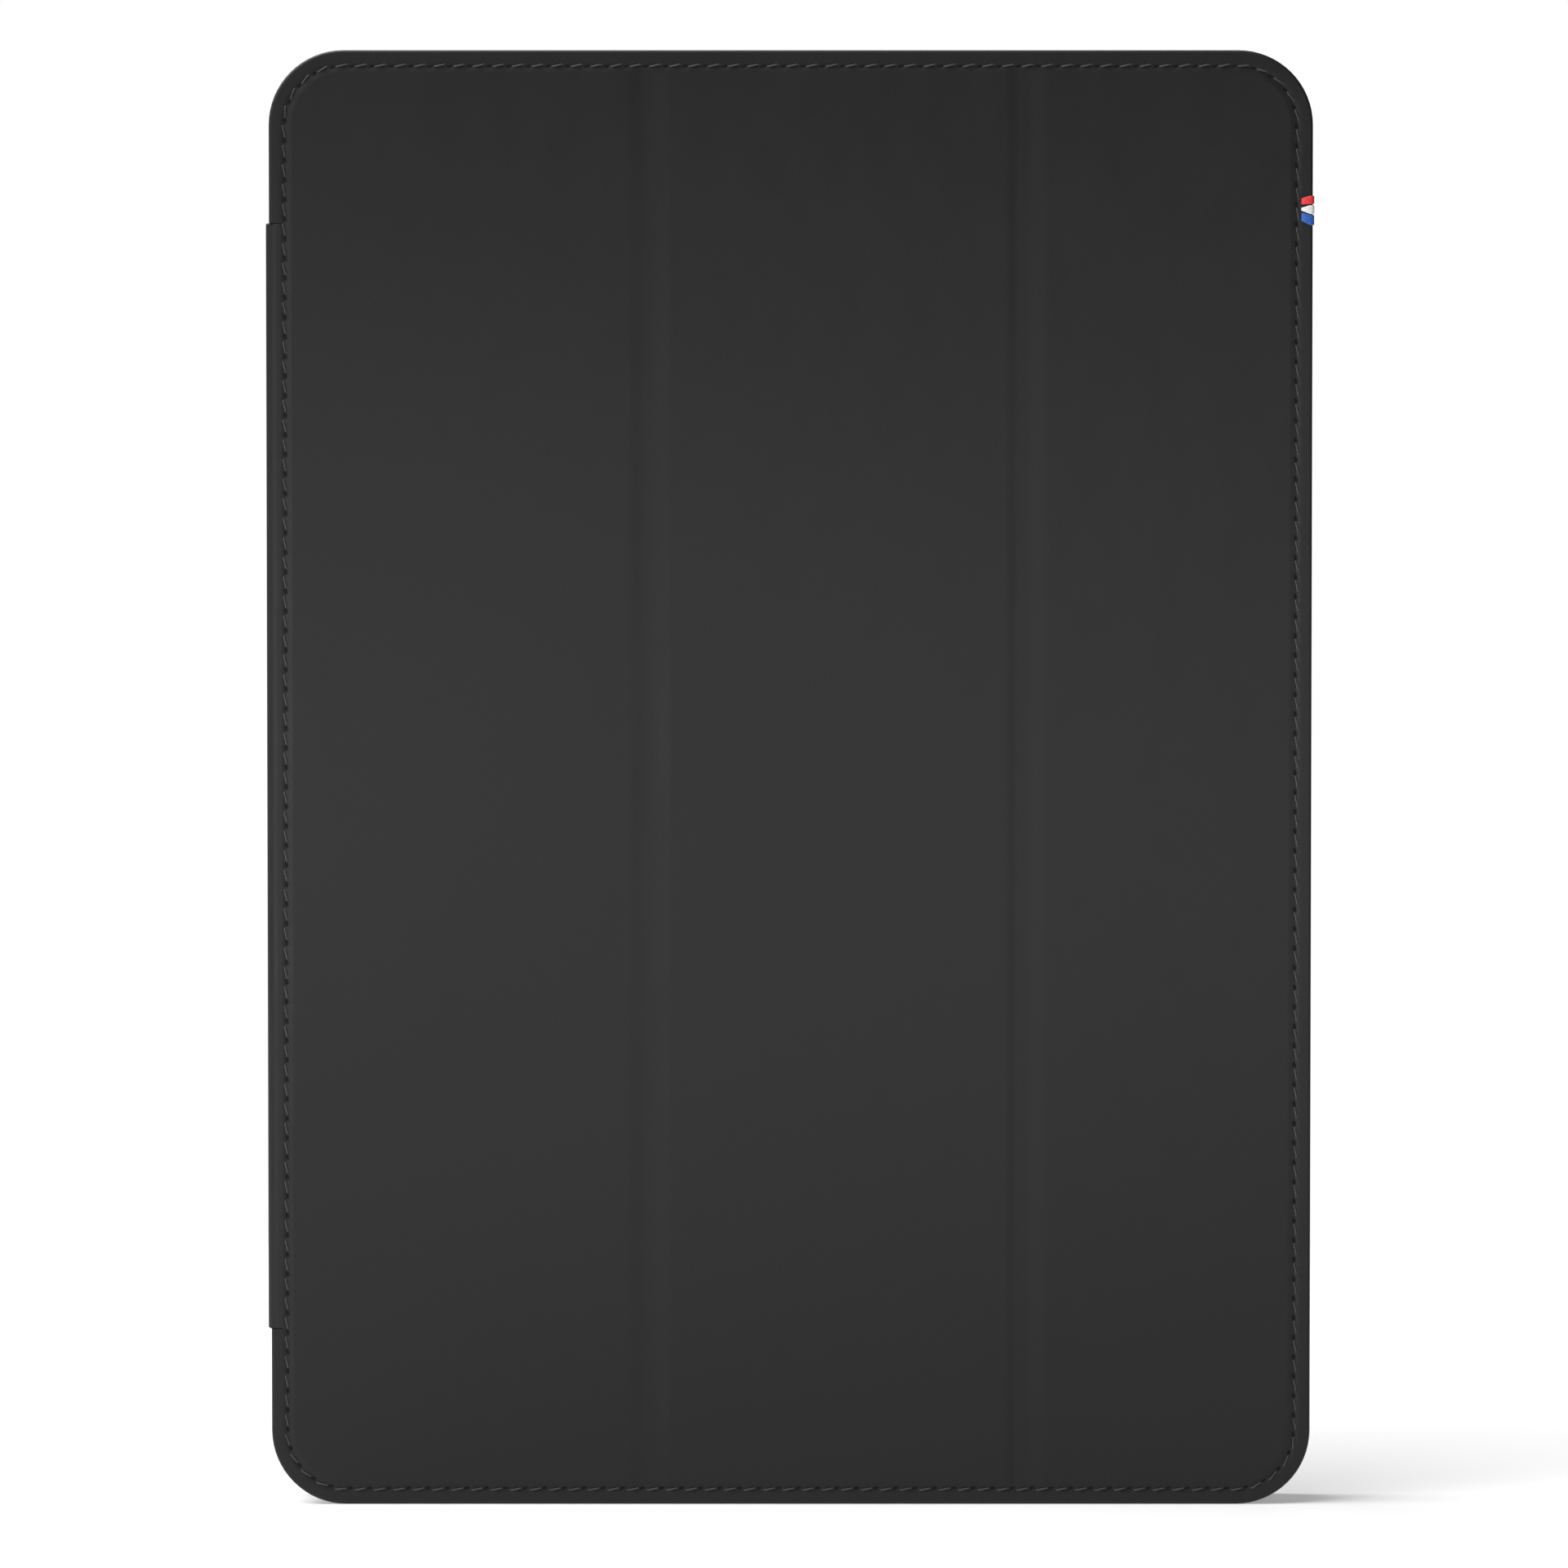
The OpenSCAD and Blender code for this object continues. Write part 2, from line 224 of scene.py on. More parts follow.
leather_low, leather_high = corners("panel_1_leather")
cover_left = leather_low.x
cover_right = corners("panel_3_leather")[1].x
cover_top = leather_high.z
face_y = leather_low.y
board_y = leather_high.y
spine_low, spine_high = corners("spine_leather")
folds = [corners("fold_1_leather"), corners("fold_2_leather")]
fold_middles = [(low.x + high.x) / 2 for low, high in folds]
fold_half = (folds[0][1].x - folds[0][0].x) / 2
margin_y = corners("fold_1_lining")[1].y
notch_x = corners("front_hinge_leather")[1].x

CORNER = 12.6                # radius of the cover's corners
SEAM = 2.6                   # distance from the edge to the stitches
HEM = 0.12                   # how far the hem lies below the panels' faces
EDGE_ROUND = 0.5             # radius of the painted edge on the leather's side
BACK_ROUND = 0.4             # and on the lining's side
GROOVE = 0.12                # depth of the groove that the stitches pull into the leather
GROOVE_HALF = 0.3            # how far from the seam the groove has mostly faded
LIP = 0.5                    # how far the paint reaches over the lining
LIP_END = LIP + 0.03         # just inside the lip, so that its own loop counts as part of it
LEATHER_RISE = (3.0, 3.9)    # where the leather rises from the hem, from the edge
# Distances from the edge at which the sheet is cut, closest where it curves most
LEATHER_LOOPS = [0.06, 0.2, 0.4, 0.5, 0.56, 0.68, 1.2, notch_x - cover_left, 2.2, 2.35, 2.48, 2.6,
                 2.72, 2.85, 3.0, 3.15, 3.3, 3.45, 3.6, 3.75, 3.9, 4.05]
FOLD_COLUMNS = 20            # upright strips across each fold
# Where each fold's channel starts to sink, is deepest, starts to rise and is up again, and
# how deep it is
CHANNELS = [(-3.6, -0.7, 0.3, 4.3, 0.12), (-3.3, -1.7, 0.0, 3.8, 0.15)]


def ease(value, low, high):
    """0 below low, 1 above high, and a smooth rise between."""
    t = min(max((value - low) / (high - low), 0), 1)
    return t * t * (3 - 2 * t)


# Where the cover's corners begin, along its four sides
bend_left = cover_left + CORNER
bend_right = cover_right - CORNER
bend_low = CORNER
bend_high = cover_top - CORNER


def from_edge(x, z):
    """How far a point of the cover lies inside its outline."""
    out_x = max(bend_left - x, x - bend_right)
    out_z = max(bend_low - z, z - bend_high)
    if out_x > 0 and out_z > 0:
        return CORNER - math.hypot(out_x, out_z)
    return CORNER - max(out_x, out_z)


def rounding(inside, radius):
    """How far a rounded edge has dropped at a distance inside the outline."""
    if inside >= radius:
        return 0
    return radius - math.sqrt(radius ** 2 - (radius - max(inside, 0)) ** 2)


def seam_groove(inside):
    """How deep the stitches have pulled the surface in."""
    return GROOVE * math.exp(-((inside - SEAM) / GROOVE_HALF) ** 2)


def select_only(piece):
    bpy.ops.object.select_all(action="DESELECT")
    bpy.context.view_layer.objects.active = piece
    piece.select_set(True)


def edit(piece):
    """Starts edit mode on one piece with nothing selected, in face mode."""
    select_only(piece)
    bpy.ops.object.mode_set(mode="EDIT")
    bpy.ops.mesh.select_mode(type="FACE")
    bpy.ops.mesh.select_all(action="DESELECT")


def select_faces(piece, chosen):
    """In edit mode, selects the faces whose middle, in millimetres, the test chooses."""
    shape = bmesh.from_edit_mesh(piece.data)
    for face in shape.faces:
        face.select_set(chosen(face.calc_center_median() / MM))
    bmesh.update_edit_mesh(piece.data)


def cut_at(point, normal):
    """Cuts what is selected along a plane through a point in millimetres."""
    bpy.ops.mesh.bisect(plane_co=Vector(point) * MM, plane_no=normal)


def outline_sheet(low_x, high_x, low_z, high_z, corner, loops, columns=()):
    """A flat upright sheet with round corners, loops at distances from its edge and upright cuts."""
    middle = Vector(((low_x + high_x) / 2, 0, (low_z + high_z) / 2)) * MM
    bpy.ops.mesh.primitive_plane_add(size=MM, location=middle, rotation=(math.pi / 2, 0, 0))
    sheet = bpy.context.object
    sheet.scale = (high_x - low_x, high_z - low_z, 1)
    bpy.ops.object.transform_apply(location=True, rotation=True, scale=True)
    edit(sheet)
    bpy.ops.mesh.select_all(action="SELECT")
    if corner:
        bpy.ops.mesh.bevel(offset_type="OFFSET", offset=corner * MM, segments=16, affect="VERTICES")
        bpy.ops.mesh.select_all(action="SELECT")
    reached = 0
    for loop in loops:
        bpy.ops.mesh.inset(thickness=(loop - reached) * MM)
        reached = loop
    for x in columns:
        bpy.ops.mesh.select_all(action="SELECT")
        cut_at((x, 0, 0), (1, 0, 0))
    bpy.ops.object.mode_set(mode="OBJECT")
    return sheet


def cut_spine_notch(sheet):
    """Takes the hem away along the stretch where the leather runs on round the spine."""
    edit(sheet)
    for z in (spine_low.z, spine_high.z):
        select_faces(sheet, lambda middle: middle.x < notch_x)
        cut_at((0, 0, z), (0, 0, 1))
    select_faces(sheet, lambda middle: middle.x < notch_x and spine_low.z < middle.z < spine_high.z)
    bpy.ops.mesh.delete(type="FACE")
    bpy.ops.object.mode_set(mode="OBJECT")


def take_stretch(sheet, name, low_x, high_x):
    """A copy of a sheet that keeps only a stretch of its width."""
    piece = sheet.copy()
    piece.data = sheet.data.copy()
    piece.name = name
    bpy.context.collection.objects.link(piece)
    edit(piece)
    select_faces(piece, lambda middle: not low_x < middle.x < high_x)
    bpy.ops.mesh.delete(type="FACE")
    bpy.ops.object.mode_set(mode="OBJECT")
    return piece


def thicken(piece, place):
    """Gives a flat sheet at y = 0 its other side, and puts every vertex where place(x, z, far) says."""
    edit(piece)
    bpy.ops.mesh.select_all(action="SELECT")
    bpy.ops.mesh.extrude_region_move(TRANSFORM_OT_translate={"value": (0, MM, 0)})
    bpy.ops.object.mode_set(mode="OBJECT")
    for vertex in piece.data.vertices:
        x, y, z = vertex.co / MM
        vertex.co = Vector(place(x, z, far=y > 0.5)) * MM
    edit(piece)
    bpy.ops.mesh.select_all(action="SELECT")
    bpy.ops.mesh.normals_make_consistent(inside=False)
    bpy.ops.object.mode_set(mode="OBJECT")


# The seam runs round the cover from the first fold's near side, over the top to the left,
# down, along the bottom and up again
STITCH_LENGTH = 3.3
seam_left = cover_left + SEAM
seam_right = cover_right - SEAM
seam_low = SEAM
seam_high = cover_top - SEAM
seam_bend = CORNER - SEAM
seam_start = fold_middles[0] - fold_half
bend_length = math.pi / 2 * seam_bend
flat_wide = bend_right - bend_left
flat_tall = bend_high - bend_low
first_run = seam_start - bend_left
seam_length = 2 * (flat_wide + flat_tall) + 4 * bend_length
stitch_count = round(seam_length / STITCH_LENGTH)
stitch_step = seam_length / stitch_count


def along_seam(x, z, middle_x):
    """How far round the seam a point of the cover lies. middle_x tells the seam's two ends apart."""
    left_run = first_run + bend_length
    low_run = left_run + flat_tall + bend_length
    right_run = low_run + flat_wide + bend_length
    if x < bend_left and z > bend_high:
        return first_run + seam_bend * math.atan2(bend_left - x, z - bend_high)
    if x < bend_left and z < bend_low:
        return left_run + flat_tall + seam_bend * math.atan2(bend_low - z, bend_left - x)
    if x > bend_right and z < bend_low:
        return low_run + flat_wide + seam_bend * math.atan2(x - bend_right, bend_low - z)
    if x > bend_right and z > bend_high:
        return right_run + flat_tall + seam_bend * math.atan2(z - bend_high, x - bend_right)
    nearest = min(x - seam_left, seam_right - x, z - seam_low, seam_high - z)
    if nearest == seam_high - z:
        return seam_start - x if middle_x < seam_start else seam_length + seam_start - x
    if nearest == x - seam_left:
        return left_run + bend_high - z
    if nearest == z - seam_low:
        return low_run + x - bend_left
    return right_run + z - bend_low


def map_seam(piece):
    """A UV map that counts stitches along the seam and gives the distance from the edge."""
    layer = piece.data.uv_layers.new(name="seam")
    for face in piece.data.polygons:
        middle_x = face.center.x / MM
        for index in face.loop_indices:
            x, y, z = piece.data.vertices[piece.data.loops[index].vertex_index].co / MM
            run = along_seam(x, z, middle_x)
            layer.data[index].uv = (run / stitch_step, from_edge(x, z))


def smooth(piece):
    """Smooth shading with sharp edges where faces meet at more than an angle."""
    select_only(piece)
    bpy.ops.object.shade_smooth_by_angle(angle=math.radians(40))


# A needle hole's size along the seam, as a share of a stitch, and across it, in millimetres
HOLE_LONG = 0.17
HOLE_WIDE = 0.3
HOLE_ASIDE = 0.16            # how far the holes lie towards the cover's middle from the seam
HOLE_SLANT = 0.5             # how much each hole leans away from the seam's line


def make_leather():
    """Smooth black cowhide: a very fine grain, a faint mottle and the seam's needle holes, dented and
    painted near-black as painted shade inside them.
    """
    material, wire, feed = new_material("black_leather", Specular_IOR_Level=0.22, Sheen_Weight=0.05)
    place = wire.node("TexCoord", {}, output=3)
    cells = wire.node("TexVoronoi", {"Vector": place, "Scale": 1 / 0.0007}, feature="SMOOTH_F1")
    fine = wire.noise(place, 0.0003, detail=3)
    stretched = wire.node("Mapping", {"Vector": place, "Scale": (1, 1, 0.45)})
    mottle = wire.noise(stretched, 0.006, detail=4, roughness=0.6)
    cloud = wire.noise(place, 0.09, detail=1)
    seam = wire.node("UVMap", {}, uv_map="seam")
    stitches = wire.node("SeparateXYZ", {"Vector": seam})
    inside = wire.node("SeparateXYZ", {"Vector": seam}, output=1)
    along = (stitches + 0.5).maths("FRACT") - 0.5
    aside = inside - (SEAM + HOLE_ASIDE) - along * HOLE_SLANT
    reach = (along * along * (1 / HOLE_LONG ** 2) + aside * aside * (1 / HOLE_WIDE ** 2)).maths("SQRT")
    hole = 1 - reach.ease(0.6, 1.15)
    pucker = 1 - reach.ease(0.8, 3.2)
    shade = mottle.ease(0.3, 0.7) * 0.6 + cloud.ease(0.3, 0.7) * 0.15 + fine.ease(0.3, 0.7) * 0.25
    hide = shade.tint((0.0060, 0.0060, 0.0062), (0.0092, 0.0092, 0.0094))
    # The needle holes are painted near-black: painted shade inside the holes, not the leather's own colour
    hide_with_painted_hole_shade = wire.node("Mix", {0: hole, 6: hide, 7: (0.002, 0.002, 0.002, 1)}, output=2, data_type="RGBA")
    relief = cells * 0.45 + fine * 0.45 - hole * 3 - pucker * 2
    feed(Base_Color=hide_with_painted_hole_shade, Roughness=0.42 + mottle * 0.28 + fine * 0.05 + hole * 0.3,
         Normal=wire.bump(relief, 0.05 * MM, 0.55))
    return material


def make_edge_paint():
    """Several coats of black edge paint, rubbed smooth: glossier than the leather, a little wavy."""
    material, wire, feed = new_material("edge_paint", Coat_Roughness=0.3)
    place = wire.node("TexCoord", {}, output=3)
    waves = wire.noise(place, 0.0025, detail=2)
    fine = wire.noise(place, 0.0004, detail=2)
    feed(Base_Color=waves.tint((0.008, 0.008, 0.0085), (0.014, 0.014, 0.0145)),
         Roughness=0.45 + waves * 0.14,
         Coat_Weight=waves * 0.15,
         Normal=wire.bump(waves + fine * 0.2, 0.05 * MM, 0.6))
    return material


leather = make_leather()
edge_paint = make_edge_paint()


def leather_face(x, z):
    """The leather's outer face: rounded edge, hem, seam groove, rise over the board, fold channels."""
    inside = from_edge(x, z)
    sunk = 0
    for middle, (start, deep, rise, end, depth) in zip(fold_middles, CHANNELS):
        across = x - middle
        sunk += depth * ease(across, start, deep) * (1 - ease(across, rise, end))
    raised = (HEM - sunk) * ease(inside, *LEATHER_RISE)
    return face_y + HEM - raised + rounding(inside, EDGE_ROUND) + seam_groove(inside)


def leather_back(x, z):
    """The leather's inner face, with the painted lip that covers the lining's edge."""
    inside = from_edge(x, z)
    if inside > LIP_END:
        return board_y
    return margin_y - rounding(inside, BACK_ROUND)


def place_leather(x, z, far):
    return (x, leather_back(x, z) if far else leather_face(x, z), z)


def paint_edge(piece, is_paint):
    """Gives the second material to the faces whose middle and direction the test chooses."""
    for face in piece.data.polygons:
        if is_paint(face.center / MM, face.normal):
            face.material_index = 1


def finish_piece(piece, slot, *materials):
    """Materials and smooth shading for a finished mesh. Its slot argument is not used."""
    piece.data.materials.clear()
    for material in materials:
        piece.data.materials.append(material)
    smooth(piece)


EDGE_BAND = 0.15             # width of the paint on the leather's side


def is_cover_edge(middle, normal):
    inside = from_edge(middle.x, middle.z)
    return inside < EDGE_BAND or (inside < LIP_END and normal.y > 0)


fold_edges = [(middle - fold_half, middle + fold_half) for middle in fold_middles]
fold_cuts = []
for low_x, high_x in fold_edges:
    width = high_x - low_x
    fold_cuts += [low_x + width * step / FOLD_COLUMNS for step in range(FOLD_COLUMNS + 1)]

leather_sheet = outline_sheet(cover_left, cover_right, 0, cover_top, CORNER, LEATHER_LOOPS, fold_cuts)
cut_spine_notch(leather_sheet)
stretches = {"panel_1": (cover_left - 1, fold_edges[0][0]), "fold_1": fold_edges[0],
             "panel_2": (fold_edges[0][1], fold_edges[1][0]), "fold_2": fold_edges[1],
             "panel_3": (fold_edges[1][1], cover_right + 1)}
FOLD_BODIES = {"fold_1": ("panel_1", "panel_2"), "fold_2": ("panel_2", "panel_3")}


def move_with(piece, part):
    """A panel's piece rides on its panel. A fold's piece only has its placement baked into its mesh."""
    if part not in FOLD_BODIES:
        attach(piece, part)
        return
    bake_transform(piece)


for part, (low_x, high_x) in stretches.items():
    piece = take_stretch(leather_sheet, part + "_leather_skin", low_x, high_x)
    thicken(piece, place_leather)
    map_seam(piece)
    finish_piece(piece, "leather", leather, edge_paint)
    paint_edge(piece, is_cover_edge)
    move_with(piece, part)
    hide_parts(part + "_leather")
bpy.data.objects.remove(leather_sheet)

# ---- Cover lining ----
# Dark grey suede-like microfibre that faces the screen. It is pressed onto the leather round
# the edge and at the folds, and runs up over each board. A painted lip closes its cut edge.
inside_y = corners("panel_1_lining")[1].y
LINING_LOOPS = [0.08, 0.22, 0.7, 1.5, 1.75, 1.88, 2.0, 2.1, 2.22, 2.35, 2.5, 2.65, 2.8, 2.95, 3.1,
                3.25, 3.4, 3.55, 3.7, 3.85, 4.0]
LINING_THICK = 0.62
LINING_ROUND = 0.22          # radius of the lining's edge where it meets the paint
LINING_RISE = (3.05, 4.45)   # where the lining rises onto the boards, from the edge
FOLD_RISE = (0.2, 1.5)       # and from a fold's side
SLOPE_COLUMNS = 8            # upright strips on each of those slopes
SLOPE_STEP = 0.2             # width of one such strip


def make_microfibre(name, dark, light):
    """Suede-like cloth: very short dense fibres with a soft sheen and brushed patches."""
    material, wire, feed = new_material(name, Sheen_Weight=0.35, Sheen_Roughness=0.45,
                                        Specular_IOR_Level=0.15)
    place = wire.node("TexCoord", {}, output=3)
    fibres = wire.noise(place, 0.00025, detail=4, roughness=0.7)
    tufts = wire.noise(place, 0.0012, detail=3)
    brushed = wire.noise(place, 0.02, detail=2)
    shade = fibres * 0.5 + tufts * 0.25 + brushed * 0.4 - 0.08
    feed(Base_Color=shade.tint(dark, light), Roughness=0.82 + fibres * 0.15,
         Normal=wire.bump(fibres + tufts * 0.6, 0.12 * MM, 0.7))
    return material


microfibre = make_microfibre("grey_microfibre", (0.03, 0.031, 0.034), (0.075, 0.077, 0.082))


def over_boards(x):
    """1 where a board lies under the lining, 0 at the folds, and a slope between."""
    reach = min(abs(x - middle) for middle in fold_middles)
    return ease(reach - fold_half, *FOLD_RISE)


def lining_face(x, z):
    """The lining's face: rounded edge, seam groove and rise over the boards."""
    inside = from_edge(x, z)
    raised = (inside_y - margin_y) * ease(inside, *LINING_RISE) * over_boards(x)
    return margin_y - rounding(inside - LIP, LINING_ROUND) + raised - seam_groove(inside)


def place_lining(x, z, far):
    return (x, lining_face(x, z) - (0 if far else LINING_THICK), z)


slope_cuts = []
for low_x, high_x in fold_edges:
    for step in range(1, SLOPE_COLUMNS + 1):
        slope_cuts += [low_x - SLOPE_STEP * step, high_x + SLOPE_STEP * step]

lining_sheet = outline_sheet(cover_left + LIP, cover_right - LIP, LIP, cover_top - LIP, CORNER - LIP,
                             LINING_LOOPS, fold_cuts + slope_cuts)
cut_spine_notch(lining_sheet)
for part, (low_x, high_x) in stretches.items():
    piece = take_stretch(lining_sheet, part + "_lining_cloth", low_x, high_x)
    thicken(piece, place_lining)
    map_seam(piece)
    finish_piece(piece, "lining_cloth", microfibre)
    if part not in FOLD_BODIES:
        wide = (min(high_x, cover_right - LIP) - max(low_x, cover_left + LIP)) * MM
        part + "_leather_skin"
    move_with(piece, part)
    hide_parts(part + "_lining")
bpy.data.objects.remove(lining_sheet)

# ---- Spine ----
# The cover's leather runs on from the hem, turns round the spine's thin board and ends in the
# back's hem. It is pared as thin as the hem all the way. Microfibre lines it, rises over the
# board, and is closed in at the short ends by painted edges, as on the cover.
TURN = 1.9                   # outer radius of the leather's two turns
THIN = board_y - face_y - HEM
CLOTH_DEPTH = margin_y - face_y - HEM
END_GAP = 0.02               # gap between the spine's short ends and the hem beside them
END_ROUND = 0.2              # radius of the short ends on the leather's side
END_BAND = 0.12              # width of the paint there
SPINE_RISE = (0.1, 0.9)      # where the lining rises onto the spine's board, from its margin
RISE_COLUMNS = 6             # upright strips on that slope
RISE_STEP = 0.16             # width of one such strip
TURN_COLUMNS = 12            # upright strips round each turn
END_ROWS = [0.06, 0.2, 0.4, 0.5, 0.56, 0.7, 0.9, 1.2]

back_face_y = corners("back_leather")[1].y
turn_x = spine_low.x + TURN
front_turn_y = face_y + HEM + TURN
back_turn_y = back_face_y - HEM - TURN
flat_run = notch_x - turn_x
turn_run = math.pi / 2 * TURN
wrap_run = 2 * (flat_run + turn_run) + back_turn_y - front_turn_y
spine_start = flat_run + turn_run + spine_low.y - front_turn_y
spine_end = flat_run + turn_run + spine_high.y - front_turn_y
spine_inside = corners("spine_lining")[1].x - spine_low.x
wrap_low = spine_low.z + END_GAP
wrap_high = spine_high.z - END_GAP


def round_spine(run, depth):
    """A point of the wrap, by its run from the cover's hem and its depth below the leather's face."""
    if run > wrap_run / 2:
        x, y = round_spine(wrap_run - run, depth)
        return x, front_turn_y + back_turn_y - y
    radius = TURN - depth
    if run < flat_run:
        return notch_x - run, front_turn_y - radius
    if run < flat_run + turn_run:
        turn = (run - flat_run) / TURN
        return turn_x - radius * math.sin(turn), front_turn_y - radius * math.cos(turn)
    return turn_x - radius, front_turn_y + run - flat_run - turn_run


def from_end(z):
    """How far a height lies inside the spine's short ends."""
    return min(z - wrap_low, wrap_high - z)


def place_wrap(run, z, far):
    """The spine's leather, with rounded short ends and a painted lip over the lining's edge."""
    inside = from_end(z)
    if not far:
        return (*round_spine(run, rounding(inside, END_ROUND)), z)
    if inside > LIP_END:
        return (*round_spine(run, THIN), z)
    return (*round_spine(run, CLOTH_DEPTH - rounding(inside, BACK_ROUND)), z)


def place_wrap_cloth(run, z, far):
    """The spine's lining, pressed to the leather at its margins and raised over the board."""
    from_margin = min(run - spine_start, spine_end - run, from_end(z) - LIP)
    raised = ease(from_margin, *SPINE_RISE)
    depth = CLOTH_DEPTH + (spine_inside - CLOTH_DEPTH) * raised
    if not far:
        depth -= LINING_THICK
    return (*round_spine(run, depth), z)


def plain_sheet(low_x, high_x, low_z, high_z, columns, rows):
    """A flat upright sheet with upright cuts, and level cuts at distances from both ends."""
    sheet = outline_sheet(low_x, high_x, low_z, high_z, 0, [], columns)
    edit(sheet)
    for row in rows:
        for z in (low_z + row, high_z - row):
            bpy.ops.mesh.select_all(action="SELECT")
            cut_at((0, 0, z), (0, 0, 1))
    bpy.ops.object.mode_set(mode="OBJECT")
    return sheet


wrap_cuts = [spine_start, spine_end, flat_run / 2, wrap_run - flat_run / 2]
for step in range(TURN_COLUMNS + 1):
    turned = flat_run + turn_run * step / TURN_COLUMNS
    wrap_cuts += [turned, wrap_run - turned]
for step in range(1, RISE_COLUMNS + 1):
    wrap_cuts += [spine_start + RISE_STEP * step, spine_end - RISE_STEP * step]

wrap_stretches = {"front_hinge": (-1, spine_start), "spine": (spine_start, spine_end),
                  "back_hinge": (spine_end, wrap_run + 1)}
HINGE_BODIES = {"front_hinge": ("panel_1", front_turn_y, 1), "back_hinge": ("shell", back_turn_y, -1)}


def bend_hinge(piece, part):
    """The spine's strip rides on the spine. A hinge's strip only has its placement baked into its mesh."""
    if part not in HINGE_BODIES:
        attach(piece, "spine")
        return
    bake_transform(piece)


def is_wrap_edge(middle, normal):
    return from_end(middle.z) < END_BAND


def make_wrap(sheet, layer, ending, place, slot, *materials):
    """Cuts a wrap's sheet into the two hinges and the spine, and bends each to shape."""
    for part, (low, high) in wrap_stretches.items():
        piece = take_stretch(sheet, part + ending, low, high)
        thicken(piece, place)
        finish_piece(piece, slot, *materials)
        if edge_paint in materials:
            paint_edge(piece, is_wrap_edge)
        bend_hinge(piece, part)
        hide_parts(part + layer)
    bpy.data.objects.remove(sheet)


wrap_sheet = plain_sheet(0, wrap_run, wrap_low, wrap_high, wrap_cuts, END_ROWS)
make_wrap(wrap_sheet, "_leather", "_leather_skin", place_wrap, "leather", leather, edge_paint)
wrap_sheet = plain_sheet(0, wrap_run, wrap_low + LIP, wrap_high - LIP, wrap_cuts, END_ROWS[2:])
make_wrap(wrap_sheet, "_lining", "_lining_cloth", place_wrap_cloth, "lining_cloth", microfibre)

# ---- Back panel ----
# The same leather, stitched round its edge like the cover, over a thin fibre board that the
# tray is bonded to. A round hole with a turned edge lets the tablet's camera see out.
under_y = corners("back_leather")[0].y
board_face_y = corners("back_board")[0].y
window = next(opening for opening in frame["record"]["physics"]["openings"]
              if opening["name"] == "camera_window")
window_low, window_high = (Vector(corner) / MM for corner in window["box_m"])
lens = (window_low + window_high) / 2
HOLE_RADIUS = 8.3            # a little wider than the tray's collar round the camera
HOLE_ROUND = 0.45            # radius of the hole's turned edge
ROUND_STEPS = 6              # strips round that edge


def place_back(x, z, far):
    """The back's leather: its outer face like the cover's, its inner face with the painted lip."""
    inside = from_edge(x, z)
    if far:
        raised = HEM * ease(inside, *LEATHER_RISE)
        return (x, back_face_y - HEM + raised - rounding(inside, EDGE_ROUND) - seam_groove(inside), z)
    if inside > LIP_END:
        return (x, under_y, z)
    return (x, board_face_y + rounding(inside, BACK_ROUND), z)


def make_cutter(low_y, high_y, radius):
    """A round rod that reaches through the camera's hole."""
    place = Vector((lens.x, (low_y + high_y) / 2, lens.z)) * MM
    bpy.ops.mesh.primitive_cylinder_add(vertices=96, radius=radius * MM, depth=(high_y - low_y) * MM,
                                        location=place, rotation=(math.pi / 2, 0, 0))
    bpy.ops.object.transform_apply(location=True, rotation=True, scale=True)
    return bpy.context.object


def flare(cutter, radius, mouth_y):
    """Widens a cutter towards the back's face, so that it leaves a rounded mouth."""
    edit(cutter)
    for step in range(1, ROUND_STEPS + 1):
        drop = HOLE_ROUND * (1 - math.sin(math.pi / 2 * step / ROUND_STEPS))
        bpy.ops.mesh.select_all(action="SELECT")
        cut_at((0, mouth_y - drop, 0), (0, 1, 0))
    bpy.ops.object.mode_set(mode="OBJECT")
    for vertex in cutter.data.vertices:
        x, y, z = vertex.co / MM
        wider = 1 + rounding(mouth_y - y, HOLE_ROUND) / radius
        vertex.co = Vector((lens.x + (x - lens.x) * wider, y, lens.z + (z - lens.z) * wider)) * MM


def drill(piece, cutter):
    """Cuts a cutter's shape out of a piece."""
    select_only(piece)
    hole = piece.modifiers.new("hole", "BOOLEAN")
    hole.object = cutter
    hole.solver = "EXACT"
    bpy.ops.object.modifier_apply(modifier=hole.name)
    bpy.data.objects.remove(cutter)


def is_back_edge(middle, normal):
    inside = from_edge(middle.x, middle.z)
    at_hole = math.hypot(middle.x - lens.x, middle.z - lens.z) < HOLE_RADIUS + HOLE_ROUND / 2
    return at_hole or inside < EDGE_BAND or (inside < LIP_END and normal.y < 0)


back_skin = outline_sheet(cover_left, cover_right, 0, cover_top, CORNER, LEATHER_LOOPS)
back_skin.name = "back_leather_skin"
cut_spine_notch(back_skin)
thicken(back_skin, place_back)
cutter = make_cutter(board_face_y - 1, back_face_y + 0.5, HOLE_RADIUS)
flare(cutter, HOLE_RADIUS, back_face_y)
drill(back_skin, cutter)
map_seam(back_skin)
finish_piece(back_skin, "leather", leather, edge_paint)
paint_edge(back_skin, is_back_edge)
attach(back_skin, "shell")
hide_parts("back_leather")

# ---- Tray ----
# One moulding in black polycarbonate, finely textured all over, with its edges broken. Cloth
# like the cover's lining is laid in its floor and stops short of the camera's hole.


def make_polycarbonate():
    """Black polycarbonate out of a spark-eroded mould: fine even texture, faint wear sheen."""
    material, wire, feed = new_material("black_polycarbonate", Specular_IOR_Level=0.45)
    place = wire.node("TexCoord", {}, output=3)
    spark = wire.noise(place, 0.0004, detail=2, roughness=0.6)
    flow = wire.noise(place, 0.03, detail=2)
    feed(Base_Color=flow.tint((0.011, 0.011, 0.012), (0.015, 0.015, 0.016)),
         Roughness=0.42 + spark * 0.12 + flow * 0.08,
         Normal=wire.bump(spark, 0.03 * MM, 0.5))
    return material


